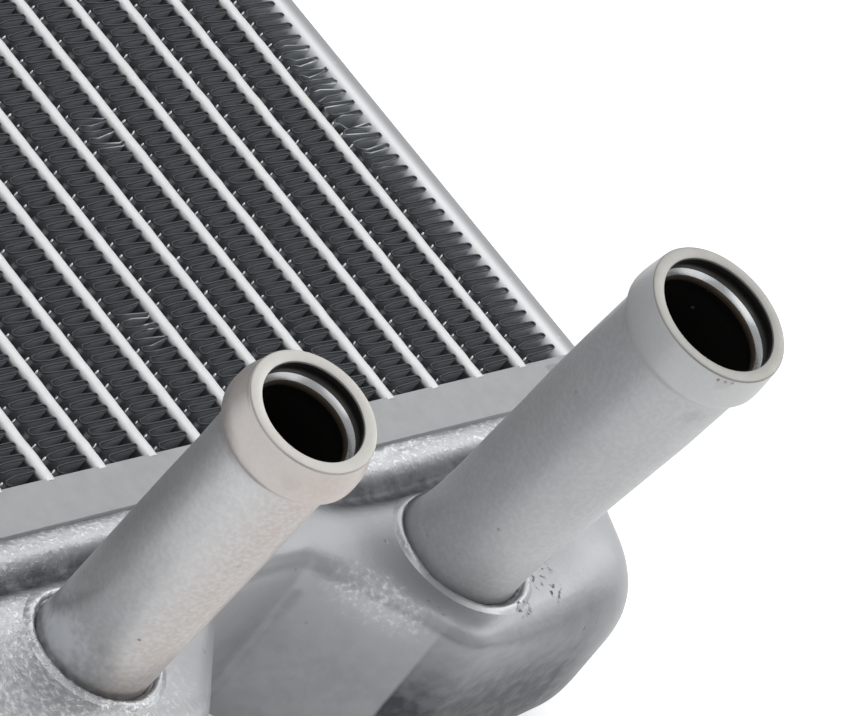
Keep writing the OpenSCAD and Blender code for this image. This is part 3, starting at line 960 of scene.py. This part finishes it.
def flat_tube(index):
    x = (index - (TUBES + 1) / 2) * PITCH
    bm = bmesh.new()
    bmesh.ops.create_circle(bm, segments=20, radius=1, cap_ends=False,
                            matrix=Matrix.Rotation(math.pi / 2, 4, "X"))
    for vert in bm.verts:
        across = math.copysign(abs(vert.co.x) ** NOSE_POWER, vert.co.x) * NOSE_T / 2
        up = math.copysign(abs(vert.co.z) ** NOSE_POWER * NOSE_H + TUBE_D / 2 - NOSE_H, vert.co.z)
        vert.co = Vector((x + across, CORE_Y - TUBE_END, MID_Z + up)) * MM
    length = FAR_Y - CORE_Y + 2 * TUBE_END
    bmesh.ops.spin(bm, geom=bm.verts[:] + bm.edges[:], cent=(0, 0, 0), axis=(0, 1, 0),
                   dvec=(0, length / TUBE_STEPS * MM, 0), angle=0, steps=TUBE_STEPS,
                   use_merge=False)
    bmesh.ops.holes_fill(bm, edges=[e for e in bm.edges if e.is_boundary])
    bmesh.ops.recalc_face_normals(bm, faces=bm.faces)
    for vert in bm.verts:
        if abs(vert.co.z / MM - MID_Z) > TUBE_D / 2 - NOSE_H / 2:
            spot = Vector((index * 7.1, vert.co.y * 900, vert.co.z * 30))
            vert.co.x += noise.noise(spot) * 0.10 * MM
            vert.co.z += noise.noise(spot + Vector((50, 0, 0))) * 0.08 * MM
    return settle(f"tube_nose_{index:02d}", bm, [tube_metal], [f"tube_{index:02d}"], 50)


for index in range(1, TUBES + 1):
    flat_tube(index)

# %% [markdown]
# A fin is one strip of foil folded to and fro. Its line is walked once along the tube, pulled down
# through the core's depth, and given its thickness by solidify. Its upper edge stands back from the
# tube on its left. Random shifts keep it from looking machined, and a few named spots are bent and
# squashed as in use.

# %% Folded fins
FIN_H, WAVES = PITCH - TUBE_T, 70
OUTER_X, END_GAP, FOIL = 80, 0.35, 0.18
PULL_IN, PULL_DEPTH, BEND_DEPTH = 1.5, 2.5, 5
BENT = (((81.0, 60.5), 2.6, 1.0), ((79.5, 48.0), 4.5, 0.6), ((81.0, 56.0), 5.0, 0.35),
        ((31.6, 53.5), 2.6, 0.8), ((11.2, 22.4), 2.6, 0.8), ((79.0, 84.0), 8.0, 0.5),
        ((-31.0, 96.0), 5.0, 0.8), ((40.0, 127.0), 7.0, 0.8))


def bend_at(x, y):
    """How hard the foil's upper edge is bent at a point, 0 to about 1."""
    return sum(force * math.exp(-((x - cx) ** 2 + ((y - cy) * 0.7) ** 2) / reach ** 2)
               for (cx, cy), reach, force in BENT)


def fold_line(x, dice):
    """The strip's line seen from the face, as (x, y) points in mm, six to each half fold."""
    y0, y1 = CORE_Y + END_GAP, FAR_Y - END_GAP
    wave = (y1 - y0) / WAVES
    half = FIN_H / 2 - 0.03
    points = []
    for k in range(2 * WAVES):
        side = 1 if k % 2 else -1
        y = y0 + (k + 0.5) * wave / 2 + dice.uniform(-0.09, 0.09)
        reach = half - dice.uniform(0, 0.06)
        turn = (0.21 + dice.uniform(-0.03, 0.03)) * wave
        sag = dice.uniform(-0.05, 0.14)
        if abs(x + side * reach) > OUTER_X:
            reach += 0.8
        points += [(x + side * (reach - 0.55), y - turn), (x + side * (reach - 0.14), y - 0.7 * turn),
                   (x + side * reach, y), (x + side * (reach - 0.14), y + 0.7 * turn),
                   (x + side * (reach - 0.55), y + turn), (x, y + wave / 4 + sag)]
    return points


def fin_strip(index):
    dice = random.Random(100 + index)
    x = (index - (TUBES + 2) / 2) * PITCH
    bm = bmesh.new()
    line = [(px, min(max(py, CORE_Y + 0.1), FAR_Y - 0.1)) for px, py in fold_line(x, dice)]
    geom = chain(bm, [Vector((px, py, FIN_TOP)) * MM for px, py in line])
    levels = (FIN_TOP, FIN_TOP - 0.7, FIN_TOP - 3.0, FIN_BACK)
    row = [g for g in geom if isinstance(g, bmesh.types.BMEdge)]
    for upper, lower in zip(levels, levels[1:]):
        made = bmesh.ops.extrude_edge_only(bm, edges=row)["geom"]
        fresh = [g for g in made if isinstance(g, bmesh.types.BMVert)]
        row = [g for g in made if isinstance(g, bmesh.types.BMEdge)]
        bmesh.ops.translate(bm, vec=(0, 0, (lower - upper) * MM), verts=fresh)
    for vert in bm.verts:
        depth = FIN_TOP - vert.co.z / MM
        if depth < PULL_DEPTH and vert.co.x / MM < x - FIN_H / 2 + 1.2:
            vert.co.x += PULL_IN * (1 - depth / PULL_DEPTH) * MM
        if depth < BEND_DEPTH:
            px, py = vert.co.x / MM, vert.co.y / MM
            force = bend_at(px, py) * (1 - depth / BEND_DEPTH)
            free = 1 - min(1, abs(px - x) / (FIN_H / 2)) ** 4
            push = noise.noise(Vector((px * 0.5, py * 0.9, 3.7)))
            ripple = 0.25 * noise.noise(Vector((px * 0.3, py * 0.35, index)))
            vert.co.y += (ripple + 2.0 * force * push) * free * MM
            vert.co.z -= abs(push) * force * 1.6 * MM
            if force > 0.3:
                vert.co.x += push * force * free * 1.2 * MM
    bmesh.ops.solidify(bm, geom=bm.faces[:], thickness=FOIL * MM)
    # The turns beside the tube on the strip's left side carry painted shade.
    return settle(f"folded_fin_{index:02d}", bm, [fin_sheet], [f"fin_{index:02d}"], 50,
                  [("painted_shade", lambda co: (x - FIN_H / 2 + 2.6 - co.x) / 0.8)])


for index in range(1, TUBES + 2):
    fin_strip(index)

# %% [markdown]
# Where a fold touches a tube, the braze leaves a bright crumb on the tube's shoulder. They are tiny
# and there are hundreds, so each is an icosphere of few faces, squashed at random.

# %% Braze crumbs
CRUMB_OFF, BARE_SHARE = 0.55, 0.2


def braze_crumbs():
    dice = random.Random(7)
    bm = bmesh.new()
    wave = (FAR_Y - CORE_Y - 2 * END_GAP) / WAVES
    tilt = Matrix.Rotation(math.radians(-35), 4, "Y")
    for tube in range(1, TUBES + 1):
        x = (tube - (TUBES + 1) / 2) * PITCH + TUBE_T / 2 + CRUMB_OFF
        for k in range(WAVES):
            if dice.random() < BARE_SHARE:
                continue
            y = CORE_Y + END_GAP + (k + 0.25) * wave + dice.uniform(-0.15, 0.15)
            z = FIN_TOP + dice.uniform(-0.12, 0.1)
            turn = Matrix.Rotation(math.radians(27 + dice.uniform(-12, 12)), 4, "Z")
            size = (dice.uniform(0.25, 0.5), dice.uniform(0.12, 0.19), dice.uniform(0.14, 0.22), 1)
            shape = Matrix.Translation(Vector((x, y, z)) * MM) @ turn @ tilt @ Matrix.Diagonal(size)
            bmesh.ops.create_icosphere(bm, subdivisions=1, radius=MM, matrix=shape)
    return settle("braze_crumbs", bm, [plate_metal], (), 180)


braze_crumbs()

# %% [markdown]
# The trays, side plates and the divider keep their CAD shape: flat sheet with true bends. They only
# get their finishes.

# %% Finishes on CAD nodes
for name, material in (("header_tray", band_metal), ("return_header_tray", band_metal),
                       ("side_plate_left", plate_metal), ("side_plate_right", plate_metal),
                       ("divider", plate_metal)):
    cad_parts[name].data.materials.clear()
    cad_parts[name].data.materials.append(material)
print("CAD nodes finished")
